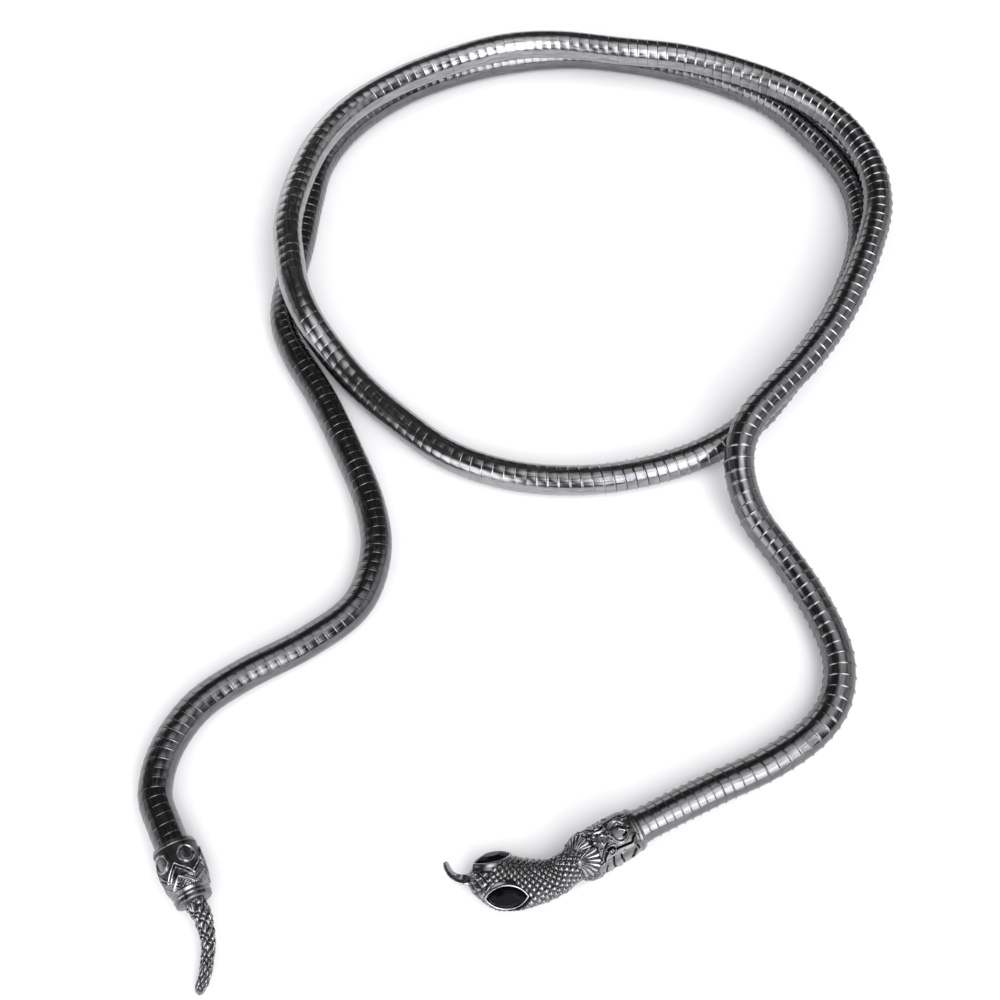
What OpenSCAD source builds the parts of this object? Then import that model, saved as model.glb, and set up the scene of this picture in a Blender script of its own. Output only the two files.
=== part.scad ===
// A bendable snake necklace. One long strip-wound tube carries a cast snake's head on one end
// and a cast tail on the other. It lies on a flat surface in a loop and a half, as it would
// by itself. The origin is the middle of the loop, on that surface, with +Z up.

/* [Chain] */
// Diameter of the strip-wound tube over its raised lips
chain_d = 6.1; // [6.1:0.1:6.2]
// Space between two strands of the tube that lie on each other
strand_gap = 0.05; // [0.05:0.05:0.2]
// How far the tube reaches into the collar and into the cap
socket_depth = 2.5; // [2.5:0.5:3]
// Space all round the tube in its sockets
socket_gap = 0.15; // [0.15:0.05:0.25]

/* [Head] */
// Width of the collar across its flats, without the ornament
collar_w = 7.6; // [7.4:0.1:7.6]
// Length of the collar from the chain to the fan
collar_len = 9.2; // [8.8:0.2:9.4]
// Greatest width of the snake's head, between the bezels
head_w = 9.2; // [8.8:0.2:9.6]
// Height of the head at the eyes
head_h = 5; // [4.6:0.2:5.2]
// Length of each scale along the head
scale_len = 1.4; // [1.3:0.1:1.6]

/* [Eyes] */
// Length of each marquise stone
eye_len = 6.5; // [6.2:0.1:6.6]
// Width of each marquise stone
eye_w = 3.7; // [3.4:0.1:3.8]
// Height of each stone above its girdle
eye_crown = 0.9; // [0.7:0.1:1.1]
// How far the eyes look up from the side
eye_tilt = 42; // [38:1:46]

/* [Tail] */
// Greatest diameter of the cap, without the ornament
cap_w = 7.6; // [7.4:0.1:7.7]
// Length of the cap without its flange
cap_len = 9; // [8.8:0.2:9.2]
// Diameter of the flange
flange_d = 6.3; // [6.2:0.1:6.6]
// Diameter of the scaly tail next to the flange
spike_d = 3.3; // [3.2:0.1:3.6]

/* [Relief] */
// Height of the cast ornament
relief_h = 0.25; // [0.15:0.05:0.25]
// Height of the cast scales
scale_h = 0.2; // [0.12:0.02:0.2]

/* [Hidden] */

GUNMETAL = [0.24, 0.24, 0.25];
JET = [0.03, 0.03, 0.035];

// The tube's route, from inside the collar to inside the cap. Each row is x, y and level:
// level 0 lies on the surface and level 1 lies on another strand.
ROUTE = [
    [4.1, -125, 0.16], [10.5, -121.5, 0.12], [20, -116.5, 0.01], [29.5, -112, 0],
    [37.5, -106.5, 0], [42, -100.5, 0], [43.5, -93.5, 0], [42.5, -87, 0],
    [39.5, -79, 0], [35.5, -71.5, 0.02], [31, -64.5, 0.2], [28.5, -57.5, 0.56],
    [28.5, -51, 0.9], [31.5, -44.5, 1.02], [37, -38, 1.02], [43.5, -30.5, 1],
    [50, -21, 1], [55, -11, 1], [59, -1, 1], [61.5, 8.5, 1],
    [61, 19, 1], [56.5, 30, 1], [47.5, 39.5, 1], [36, 46, 1],
    [23.5, 50.5, 1], [10, 52.5, 1], [-4, 54.5, 1], [-16, 53.5, 1],
    [-28, 49, 1], [-39, 43, 1], [-48.5, 35, 1], [-55, 25, 1],
    [-58.5, 14, 1], [-60, 3, 1], [-59, -6, 1], [-57.5, -13.5, 1],
    [-54.5, -20.5, 0.82], [-50, -26.5, 0.36], [-44, -33.5, 0.04], [-36, -41.5, 0],
    [-26, -49.5, 0], [-14, -54, 0], [-1, -55, 0], [11.5, -53, 0],
    [23, -48.5, 0], [32.5, -41.5, 0], [40, -32, 0], [47.5, -22, 0],
    [53.5, -11.5, 0], [58, 0, 0], [59.5, 11.5, 0], [57.5, 22.5, 0],
    [51, 33.5, 0], [42.5, 43.5, 0], [29, 51, 0], [14.5, 55.5, 0],
    [0, 57.5, 0], [-14, 56, 0], [-27, 52, 0], [-39, 45.5, 0],
    [-49, 36, 0], [-55, 25, 0], [-57, 13, 0], [-58, 3, 0],
    [-59.5, -7.5, 0], [-60, -17, 0], [-57, -26, 0], [-51, -37, 0],
    [-45.5, -49, 0], [-41, -60.5, 0], [-39.5, -71, 0], [-42.5, -81.5, 0],
    [-51, -89, 0], [-62, -95.5, 0], [-69.5, -101.5, 0], [-74, -109.5, 0],
    [-75, -117.5, 0.03], [-72.6, -123.6, 0.12], [-69.9, -128.8, 0.16]
];
CHAIN_SIDES = 12;

// The head's centre line from the collar's open end to the tip of the tongue
HEAD_SPINE = [
    [6.2, -123.9, 4.05], [1.8, -126.3, 4.05], [-4.4, -130, 4], [-7.5, -131.9, 3.3],
    [-10.8, -132.7, 3], [-14.5, -132.9, 2.8], [-18, -132.4, 2.8], [-21.9, -132.1, 2.5],
    [-23.2, -132.1, 2.6], [-24.5, -131.7, 3.5], [-25.2, -131.1, 5], [-25.6, -130.6, 7]
];
HEAD_SIDES = 48;
// Scales side by side in one row round the head
HEAD_SCALES = 12;
COLLAR_RINGS = [0, 0.25, 0.5, 0.85, 1.2, 1.8, 2.4, 5, 7.5];
COLLAR_FACES = 4;
FAN_STEP = 0.5;
FAN_RIBS = 24;
// Ends of the fan and of the head, in millimetres along the centre line
FAN_TO = 12.5;
SNOUT_AT = 30.4;
// The tongue: how much it narrows, its thickness as a share of its width, its blunt end
TONGUE_RINGS = 7;
TONGUE_TAPER = 0.45;
TONGUE_THICK = 0.4;
TONGUE_END = 0.1;
TONGUE_ROUNDING = 6;
TONGUE_START = 0.2;

// Sections of the head casting: place along the centre line, half width, height above the
// centre line, depth below it, and squareness, where 2 is an ellipse and 4 nearly a square
c_half = collar_w / 2;
h_half = head_w / 2;
h_up = head_h * 0.52;
h_down = head_h * 0.48;
HEAD_SECTIONS = [
    [0, c_half - 0.4, c_half - 0.4, c_half - 0.4, 2.2],
    [0.5, c_half - 0.15, c_half - 0.15, c_half - 0.15, 2.3],
    [1.2, c_half - 0.25, c_half - 0.25, c_half - 0.25, 2.5],
    [2.4, c_half, c_half, c_half, 2.8],
    [collar_len, c_half, c_half, c_half, 2.9],
    [11.2, c_half - 0.05, c_half - 0.05, c_half - 0.05, 2.5],
    [12, c_half - 0.3, c_half - 0.3, c_half - 0.3, 2.2],
    [FAN_TO, 2.8, 2.8, 2.8, 2],
    [16, h_half * 0.66, 2.6, 2.6, 2],
    [19.4, h_half * 0.82, h_up, h_down, 2.1],
    [22.2, h_half * 0.95, h_up, h_down, 2.2],
    [24.4, h_half, h_up, h_down, 2.2],
    [26, h_half * 0.96, h_up, h_down * 0.95, 2.2],
    [27.8, h_half * 0.78, h_up * 0.9, h_down * 0.9, 2.1],
    [29.3, h_half * 0.54, h_up * 0.7, h_down * 0.7, 2],
    [30, h_half * 0.36, h_up * 0.45, h_down * 0.45, 2],
    [SNOUT_AT, 1.1, 0.6, 0.6, 2]
];

// Where the left and the right eye sit: x, y, z, heading of the long axis, how much further
// up it looks than eye_tilt, because the head lies rolled to its left, and its turn in its plane
EYE_SEATS = [[-15.5, -135.6, 4.2, 183, 2, 0], [-17.9, -129, 3.5, 188, -6, -28]];
EYE_POINTS = 6;
// Levels of a stone above its girdle: share of the crown's height and share of the outline
STONE_CROWN = [[0, 1], [0.55, 0.86], [1, 0.55]];
STONE_BASE = 0.9;
BEZEL_WALL = 0.55;
BEZEL_CHAMFER = 0.3;
BEZEL_STEPS = 20;
BEZEL_GAP = 0.1;
BEZEL_DEPTH = 1;
BEZEL_RISE = 0.2;
SEAT_DROP = 0.35;
POCKET_H = 3;

// The tail's centre line, from the cap's open end to the tip
TAIL_SPINE = [
    [-70.7, -127.1, 4.05], [-68.5, -131.7, 4.05], [-66.3, -136.3, 4], [-65.1, -138.1, 3.5],
    [-64.3, -140.3, 2.9], [-63.8, -142.4, 2.4], [-63.7, -144.7, 2], [-63.9, -147.1, 1.7],
    [-64.4, -149.2, 1.4], [-64.7, -150.7, 1.2]
];
TAIL_SIDES = 32;
TAIL_SCALES = 8;
CAP_MOTIFS = 5;
CAP_TURN = 60;
CAP_RINGS = [0, 0.25, 0.5, 1.5, 2.5, 5, 7, 8.3];
FLANGE_T = 1.3;
FLANGE_EDGE = 0.1;
SPIKE_START = 0.5;
SPIKE_STEP = 0.7;
SPIKE_LEN = 14;
TIP_R = 0.7;

function unit(v) = v / norm(v);
// A smooth hump, 1 at its middle and 0 from half of its width outwards
function hump(x, width) = pow(cos(90 * min(1, abs(2 * x / width))), 2);

// Directions along, beside and above a path at one of its points
function ahead(path, i) = unit(path[min(i + 1, len(path) - 1)] - path[max(i - 1, 0)]);
function beside(t) = unit(cross([0, 0, 1], t));
function above(t) = cross(t, beside(t));

// Faces of a skin over rings of points, with a flat face over the first and the last ring
function skin_faces(rings, sides) = concat(
    [for (i = [0 : rings - 2]) for (j = [0 : sides - 1])
        let (a = i * sides + j, b = i * sides + (j + 1) % sides) [a, a + sides, b + sides]],
    [for (i = [0 : rings - 2]) for (j = [0 : sides - 1])
        let (a = i * sides + j, b = i * sides + (j + 1) % sides) [a, b + sides, b]],
    [[for (j = [0 : sides - 1]) j]],
    [[for (j = [sides - 1 : -1 : 0]) (rings - 1) * sides + j]]
);

// A smooth curve through the points of a spine, and its length up to each point
function through(p, i, t) = let (
    a = p[max(i - 1, 0)], b = p[i], c = p[min(i + 1, len(p) - 1)], d = p[min(i + 2, len(p) - 1)]
) 0.5 * (2 * b + (c - a) * t + (2 * a - 5 * b + 4 * c - d) * t * t
    + (3 * b - a - 3 * c + d) * t * t * t);
SPINE_STEPS = 6;
function smooth_path(p) = concat(
    [for (i = [0 : len(p) - 2]) for (k = [0 : SPINE_STEPS - 1]) through(p, i, k / SPINE_STEPS)],
    [p[len(p) - 1]]
);
function lengths(p) = [for (i = 0, s = 0; i < len(p);
    i = i + 1, s = s + (i < len(p) ? norm(p[i] - p[i - 1]) : 0)) s];
function table(keys, values) = [for (i = [0 : len(keys) - 1]) [keys[i], values[i]]];
function column(rows, c) = [for (r = rows) r[c]];

// A spine is its three tables of x, y and z over the length
function spine(p) = let (q = smooth_path(p), s = lengths(q)) [
    table(s, column(q, 0)), table(s, column(q, 1)), table(s, column(q, 2))
];
function spine_length(tables) = tables[0][len(tables[0]) - 1][0];
function spine_point(tables, s) = [for (t = tables) lookup(s, t)];
TANGENT_STEP = 0.3;
function spine_ahead(tables, s) = unit(
    spine_point(tables, s + TANGENT_STEP) - spine_point(tables, max(0, s - TANGENT_STEP))
);
function place(tables, s, out, up) = let (t = spine_ahead(tables, s))
    spine_point(tables, s) + out * beside(t) + up * above(t);

// Distance from the middle of a rounded outline to its edge, in the direction of an angle
function outline(half, up, down, square, angle) = let (
    c = abs(cos(angle)) / half,
    q = abs(sin(angle)) / (sin(angle) > 0 ? up : down)
) pow(pow(c, square) + pow(q, square), -1 / square);
function section(table_of, s, angle) = outline(
    lookup(s, table(column(table_of, 0), column(table_of, 1))),
    lookup(s, table(column(table_of, 0), column(table_of, 2))),
    lookup(s, table(column(table_of, 0), column(table_of, 3))),
    lookup(s, table(column(table_of, 0), column(table_of, 4))), angle
);

// The fan is a shoulder of ribs where the collar meets the neck
function fan_relief(s, angle) = relief_h * (0.5 + 0.5 * cos(FAN_RIBS * angle))
    * min(1, 2 * hump(s - (collar_len + FAN_TO) / 2, FAN_TO - collar_len));
function scales(s, angle, count, length) = max(0, cos(count * angle) * cos(360 * s / length));
function head_relief(s, angle) =
    s < collar_len ? 0
    : s < FAN_TO ? fan_relief(s, angle)
    : s > SNOUT_AT - scale_len ? 0
    : scale_h * scales(s - FAN_TO, angle, HEAD_SCALES, scale_len);

// A ridge of cast ornament follows a path drawn on a casting's surface. A point of the path
// is its place along the centre line and its distance round the surface from a motif's middle.
RIDGE_PROFILE = [[0.5, -0.6], [0.3, 1], [-0.3, 1], [-0.5, -0.6]];
function on_head(tables, angle, p, lift) = let (
    a = angle + p[1] / c_half * 180 / PI, r = section(HEAD_SECTIONS, p[0], a) + lift
) place(tables, p[0], r * cos(a), r * sin(a));
function on_tail(tables, angle, p, lift) = let (
    a = angle + p[1] / cap_half * 180 / PI, r = lookup(p[0], TAIL_RADII) + lift
) place(tables, p[0], r * cos(a), r * sin(a));
function on_casting(head, tables, angle, p, lift) =
    head ? on_head(tables, angle, p, lift) : on_tail(tables, angle, p, lift);
function ridge_points(head, tables, angle, path, width, closed) = [
    for (i = [0 : len(path) - 1]) for (k = RIDGE_PROFILE) let (
        n = len(path),
        before = closed ? path[(i + n - 1) % n] : path[max(i - 1, 0)],
        after = closed ? path[(i + 1) % n] : path[min(i + 1, n - 1)],
        t = unit(after - before)
    ) on_casting(head, tables, angle, path[i] + width * k[0] * [t[1], -t[0]], relief_h * k[1])
];
function loop_faces(rings, sides) = [
    for (i = [0 : rings - 1]) for (j = [0 : sides - 1]) for (half = [0, 1]) let (
        i2 = (i + 1) % rings, j2 = (j + 1) % sides
    ) half == 0 ? [i * sides + j, i2 * sides + j, i2 * sides + j2]
        : [i * sides + j, i2 * sides + j2, i * sides + j2]
];
function oval(middle, half, count) = [
    for (k = [0 : count - 1]) middle + [half[0] * cos(360 * k / count), half[1] * sin(360 * k / count)]
];
VOLUTE_POINTS = 8;
VOLUTE_TURN = 420;
VOLUTE_SHRINK = 0.65;
function volute(s, w, radius, side) = [for (k = [0 : VOLUTE_POINTS - 1])
    let (share = k / (VOLUTE_POINTS - 1), r = radius * (1 - VOLUTE_SHRINK * share))
    [s - r * cos(VOLUTE_TURN * share), w + side * r * sin(VOLUTE_TURN * share)]
];

module skin(points, sides) {
    polyhedron(points = points, faces = skin_faces(len(points) / sides, sides), convexity = 10);
}

module chain_body() {
    path = [for (p = ROUTE) [p[0], p[1], chain_d / 2 + p[2] * (chain_d + strand_gap)]];
    points = [for (i = [0 : len(path) - 1]) for (j = [0 : CHAIN_SIDES - 1]) let (
        t = ahead(path, i), angle = 360 * j / CHAIN_SIDES
    ) path[i] + chain_d / 2 * (cos(angle) * beside(t) + sin(angle) * above(t))];
    color(GUNMETAL) skin(points, CHAIN_SIDES);
}

module ridge(head, tables, angle, path, width) {
    skin(ridge_points(head, tables, angle, path, width, false), len(RIDGE_PROFILE));
}

module ring_ridge(head, tables, angle, path, width) {
    polyhedron(points = ridge_points(head, tables, angle, path, width, true),
        faces = loop_faces(len(path), len(RIDGE_PROFILE)), convexity = 6);
}

// A low dome on the surface of a casting: share of its radius and of the relief's height
BOSS_PROFILE = [[0.5, 1], [0.95, 0.4], [1, -1.2]];
BOSS_SIDES = 10;
module boss(head, tables, angle, p, diameter) {
    points = [for (l = BOSS_PROFILE) for (k = [0 : BOSS_SIDES - 1])
        on_casting(head, tables, angle, p + diameter / 2 * l[0]
            * [cos(360 * k / BOSS_SIDES), sin(360 * k / BOSS_SIDES)], relief_h * l[1])];
    skin(points, BOSS_SIDES);
}

// Rings of a casting: the socket's floor and mouth first, then the outside
function casting_ring(tables, s, sides, radius) = [for (j = [0 : sides - 1])
    let (angle = 360 * j / sides, r = radius[j])
    place(tables, s, r * cos(angle), r * sin(angle))
];
function socket_rings(tables, sides) = let (
    r = [for (j = [0 : sides - 1]) chain_d / 2 + socket_gap]
) concat(casting_ring(tables, socket_depth + socket_gap, sides, r), casting_ring(tables, 0, sides, r));

module head_form() {
    tables = spine(HEAD_SPINE);
    tongue_len = spine_length(tables) - SNOUT_AT;
    stations = concat(
        COLLAR_RINGS,
        [for (s = [collar_len : FAN_STEP : FAN_TO - 0.1]) s],
        [for (s = [FAN_TO : scale_len / 2 : SNOUT_AT - 0.2]) s],
        [SNOUT_AT]
    );
    outside = [for (s = stations) for (j = [0 : HEAD_SIDES - 1]) let (
        angle = 360 * j / HEAD_SIDES,
        r = section(HEAD_SECTIONS, s, angle) + head_relief(s, angle)
    ) place(tables, s, r * cos(angle), r * sin(angle))];
    tongue = [for (k = [0 : TONGUE_RINGS]) for (j = [0 : HEAD_SIDES - 1]) let (
        share = k / TONGUE_RINGS,
        angle = 360 * j / HEAD_SIDES,
        tip = sqrt(1 + TONGUE_END - pow(share, TONGUE_ROUNDING)),
        half = tip * (1 - TONGUE_TAPER * share)
    ) place(tables, SNOUT_AT + TONGUE_START + (tongue_len - 1.5 * TONGUE_START) * share,
        half * cos(angle), TONGUE_THICK * tip * sin(angle))];
    skin(concat(socket_rings(tables, HEAD_SIDES), outside, tongue), HEAD_SIDES);
}

// Outline of a marquise: two equal arcs that meet in points, at a share of its full size
function marquise_half(x, length, width) = let (
    r = (length * length + width * width) / (4 * width)
) sqrt(r * r - x * x) - (r - width / 2);
function marquise(length, width, count) = concat(
    [for (k = [0 : count - 1]) let (x = length / 2 * cos(180 * k / count))
        [x, marquise_half(x, length, width)]],
    [for (k = [0 : count - 1]) let (x = -length / 2 * cos(180 * k / count))
        [x, -marquise_half(x, length, width)]]
);

// Moves its children from the XY plane to the left (1) or right (-1) eye's seat
module at_eye(side) {
    seat = EYE_SEATS[side > 0 ? 0 : 1];
    translate([seat[0], seat[1], seat[2]])
        rotate([0, 0, seat[3]])
            rotate([side * (eye_tilt + seat[4] - 90), 0, 0])
                rotate([0, 0, side * seat[5]])
                    children();
}

// The collar's ornament, in millimetres: places along the centre line, sizes and widths
MEDALLION_AT = [4, 0];
MEDALLION_HALF = [2.1, 1.9];
MEDALLION_POINTS = 14;
VOLUTE_AT = [7.8, 1.3];
VOLUTE_R = 1.1;
CORNER_PATH = [[2.4, 0], [4.4, 0.3], [7, 0]];
// Bosses on each face: place along the centre line and diameter
COLLAR_BOSSES = [[4, 1.8], [7, 0.9], [1.1, 0.8]];
WIDE_RIDGE = 0.6;
FINE_RIDGE = 0.5;

// Each face of the collar has a medallion with a boss in it and two volutes next to the fan
module collar_ornament() {
    tables = spine(HEAD_SPINE);
    medallion = oval(MEDALLION_AT, MEDALLION_HALF, MEDALLION_POINTS);
    for (face = [0 : COLLAR_FACES - 1]) {
        angle = 360 * face / COLLAR_FACES;
        ring_ridge(true, tables, angle, medallion, WIDE_RIDGE);
        for (b = COLLAR_BOSSES) boss(true, tables, angle, [b[0], 0], b[1]);
        for (side = [-1, 1])
            ridge(true, tables, angle, volute(VOLUTE_AT[0], side * VOLUTE_AT[1], VOLUTE_R, side), FINE_RIDGE);
        ridge(true, tables, angle + 180 / COLLAR_FACES, CORNER_PATH, WIDE_RIDGE);
    }
}

// The bezel is a rim round the stone, with a chamfered top edge
module bezel() {
    levels = [
        [0, 0],
        [BEZEL_WALL * BEZEL_CHAMFER, BEZEL_RISE],
        [BEZEL_WALL * (1 - BEZEL_CHAMFER), BEZEL_RISE],
        [BEZEL_WALL, 0],
        [BEZEL_WALL, -BEZEL_DEPTH],
        [0, -BEZEL_DEPTH]
    ];
    points = [for (k = [0 : BEZEL_STEPS - 1]) for (l = levels) let (
        rim = marquise(eye_len + BEZEL_GAP + 2 * l[0], eye_w + BEZEL_GAP + 2 * l[0], BEZEL_STEPS / 2)
    ) concat(rim[k], [l[1]])];
    polyhedron(points = points, faces = loop_faces(BEZEL_STEPS, len(levels)), convexity = 4);
}

module head_casting() {
    color(GUNMETAL)
        difference() {
            union() {
                head_form();
                collar_ornament();
                at_eye(1) bezel();
                at_eye(-1) bezel();
            }
            at_eye(1) eye_pocket();
            at_eye(-1) eye_pocket();
        }
}

// The room for a stone inside its bezel
module eye_pocket() {
    translate([0, 0, -SEAT_DROP])
        linear_extrude(height = POCKET_H)
            polygon(marquise(eye_len + 2 * BEZEL_GAP, eye_w + 2 * BEZEL_GAP, BEZEL_STEPS / 2));
}

// A marquise stone: flat base, girdle, one row of crown facets and a table
module eye_stone(side) {
    levels = concat([[BEZEL_GAP - SEAT_DROP, STONE_BASE]],
        [for (l = STONE_CROWN) [l[0] * eye_crown, l[1]]]);
    points = [for (l = levels) for (p = marquise(eye_len, eye_w, EYE_POINTS))
        [p[0] * l[1], p[1] * l[1], l[0]]];
    color(JET) at_eye(side) skin(points, 2 * EYE_POINTS);
}

module eye_stone_left() {
    eye_stone(1);
}

module eye_stone_right() {
    eye_stone(-1);
}

// Sections of the tail casting: place along the centre line and radius
cap_half = cap_w / 2;
flange_end = cap_len + FLANGE_T;
TAIL_RADII = [
    [0, cap_half - 0.25], [0.5, cap_half - 0.1], [2.5, cap_half], [5, cap_half - 0.05],
    [7, cap_half - 0.3], [8.6, cap_half - 0.6], [cap_len, flange_d / 2 - 0.3],
    [cap_len + FLANGE_EDGE, flange_d / 2], [flange_end, flange_d / 2],
    [flange_end + FLANGE_EDGE, spike_d / 2],
    [flange_end + 1.5, spike_d / 2 - 0.1], [flange_end + 3, spike_d / 2 - 0.35],
    [flange_end + 5.5, spike_d / 2 - 0.65], [flange_end + 8, spike_d / 2 - 0.75],
    [flange_end + 11, spike_d / 2 - 0.8], [flange_end + SPIKE_LEN, spike_d / 2 - 0.95]
];

// The cap's ornament, in millimetres: places along the centre line, sizes and widths
DISC_AT = [2.8, 0];
DISC_HALF = [1.2, 1.2];
DISC_POINTS = 12;
DISC_RIDGE = 0.45;
CHEVRONS = [[[8, -2.2], [4, 0], [8, 2.2]], [[8.1, -1.1], [5.9, 0], [8.1, 1.1]]];
// Bosses of each motif: place along the centre line and diameter
CAP_BOSSES = [[2.8, 1.7], [6, 1]];

// Ringed domes next to the chain, and between them double chevrons that point to the chain
module cap_ornament(tables) {
    for (motif = [0 : CAP_MOTIFS - 1]) {
        angle = CAP_TURN + 360 * motif / CAP_MOTIFS;
        ring_ridge(false, tables, angle, oval(DISC_AT, DISC_HALF, DISC_POINTS), DISC_RIDGE);
        for (b = CAP_BOSSES) boss(false, tables, angle, [b[0], 0], b[1]);
        for (path = CHEVRONS) ridge(false, tables, angle + 180 / CAP_MOTIFS, path, WIDE_RIDGE);
    }
}

function tail_relief(s, angle) = s < 0 ? 0 : scale_h * scales(s, angle, TAIL_SCALES, 2 * SPIKE_STEP);

module tail_casting() {
    tables = spine(TAIL_SPINE);
    flange = [cap_len, cap_len + FLANGE_EDGE, flange_end, flange_end + FLANGE_EDGE];
    spike = [for (s = [SPIKE_START : SPIKE_STEP : SPIKE_LEN]) flange_end + s];
    outside = [for (s = concat(CAP_RINGS, flange, spike)) for (j = [0 : TAIL_SIDES - 1]) let (
        angle = 360 * j / TAIL_SIDES,
        r = lookup(s, TAIL_RADII) + tail_relief(s - flange_end - SPIKE_START, angle)
    ) place(tables, s, r * cos(angle), r * sin(angle))];
    tip = [for (j = [0 : TAIL_SIDES - 1]) let (angle = 360 * j / TAIL_SIDES)
        place(tables, spine_length(tables), TIP_R * cos(angle), TIP_R * sin(angle))];
    color(GUNMETAL) {
        skin(concat(socket_rings(tables, TAIL_SIDES), outside, tip), TAIL_SIDES);
        cap_ornament(tables);
    }
}

chain_body();
head_casting();
eye_stone_left();
eye_stone_right();
tail_casting();
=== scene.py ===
# %% [markdown]
# # A bendable snake necklace
# The necklace is one long tube of wound metal strip with a cast snake's head on one end and
# a cast tail on the other. It lies on a pale table in a loop and a half.
# The CAD model gives the sizes and the places. This lesson makes each piece again with the
# detail that the eye looks for: the lips of the strip, the cast ornament and the scales.

# %% Load the frame
import math

import bmesh
import bpy
import numpy as np
from mathutils import Matrix, Vector


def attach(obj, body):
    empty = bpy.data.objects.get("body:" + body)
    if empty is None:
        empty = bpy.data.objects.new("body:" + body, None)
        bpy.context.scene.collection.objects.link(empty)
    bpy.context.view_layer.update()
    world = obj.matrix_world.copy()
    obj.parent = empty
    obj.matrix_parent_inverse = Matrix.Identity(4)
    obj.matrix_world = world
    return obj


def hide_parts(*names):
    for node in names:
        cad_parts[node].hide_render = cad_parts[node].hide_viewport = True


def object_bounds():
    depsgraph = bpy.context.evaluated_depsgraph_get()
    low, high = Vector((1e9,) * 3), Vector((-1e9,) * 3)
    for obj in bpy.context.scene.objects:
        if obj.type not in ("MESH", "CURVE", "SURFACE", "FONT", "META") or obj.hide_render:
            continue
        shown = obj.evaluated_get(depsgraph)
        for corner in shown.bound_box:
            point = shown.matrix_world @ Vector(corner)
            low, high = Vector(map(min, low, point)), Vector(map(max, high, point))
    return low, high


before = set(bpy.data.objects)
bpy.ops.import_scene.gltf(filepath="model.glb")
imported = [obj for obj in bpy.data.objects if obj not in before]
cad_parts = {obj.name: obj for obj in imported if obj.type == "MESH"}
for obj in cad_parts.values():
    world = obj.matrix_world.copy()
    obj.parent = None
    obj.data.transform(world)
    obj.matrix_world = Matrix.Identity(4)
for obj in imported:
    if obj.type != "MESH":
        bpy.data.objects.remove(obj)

MM = 0.001
cad_box = [list(corner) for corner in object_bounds()]
print("CAD nodes:", sorted(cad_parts))
print("CAD box in mm:", [[round(v / MM, 1) for v in corner] for corner in cad_box])

# %% [markdown]
# ## Camera
# The camera stands in front of the necklace and looks down at it at 59 degrees, as in the
# photograph. A long lens could stand further away, but the far side of the loop looks
# smaller than the near side, so the camera is close, with a lens of about 58 mm.

# %% Camera
CAMERA_AT = Vector((-16.6, -215.0, 262.0)) * MM
CAMERA_DOWN = 59
CAMERA_LENS = 57.85

camera_data = bpy.data.cameras.new("camera")
camera_data.lens = CAMERA_LENS
camera_data.sensor_width = 36
camera_data.clip_start = 0.01
camera = bpy.data.objects.new("camera", camera_data)
camera.location = CAMERA_AT
camera.rotation_euler = (math.radians(90 - CAMERA_DOWN), 0, 0)
bpy.context.scene.collection.objects.link(camera)
bpy.context.scene.camera = camera
bpy.context.scene.view_settings.view_transform = "Standard"
print("camera", round(CAMERA_AT.length / MM), "mm from the middle of the loop")

# %% [markdown]
# ## Centre lines
# The tube and both castings are round things that follow a bent line. Each could be modelled
# in place, but rings and scales are much easier to make straight. So every long piece is made
# straight along X, and its points are then carried onto a smooth line through a few points.
# These are the same points as in the part's source, in millimetres.

# %% Smooth lines through points
def smooth(points, steps=6):
    """More points on a smooth line through the given ones."""
    p = np.array(points, float)
    p = np.concatenate([2 * p[:1] - p[1:2], p, 2 * p[-1:] - p[-2:-1]])
    t = np.linspace(0, 1, steps, endpoint=False)[:, None]
    spans = [
        0.5 * (2 * b + (c - a) * t + (2 * a - 5 * b + 4 * c - d) * t**2 + (3 * b - a - 3 * c + d) * t**3)
        for a, b, c, d in zip(p, p[1:], p[2:], p[3:])
    ]
    return np.concatenate(spans + [p[-2:-1]])


def centre_line(points, steps=6):
    """Distances along a smooth line, and its places."""
    places = smooth(points, steps)
    gaps = np.linalg.norm(np.diff(places, axis=0), axis=1)
    return np.concatenate([[0], np.cumsum(gaps)]), places


def place_at(line, s):
    """The places on a centre line at distances along it."""
    return np.stack([np.interp(s, line[0], line[1][:, k]) for k in range(3)], axis=-1)


def unit(v):
    """Vectors of the same direction, 1 long."""
    return v / np.linalg.norm(v, axis=-1, keepdims=True)


def bend(co, line, reach=0.3):
    """Carries points of a piece that is straight along X onto a centre line."""
    s = co[:, 0]
    ahead = unit(place_at(line, s + reach) - place_at(line, np.maximum(0, s - reach)))
    beside = unit(np.cross([0, 0, 1], ahead))
    return place_at(line, s) + co[:, 1:2] * beside + co[:, 2:3] * np.cross(ahead, beside)


# %% The three centre lines
# Thickness of the tube, and the room left where one strand lies on the other
CHAIN_D = 6.1
STRAND_GAP = 0.05
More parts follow.
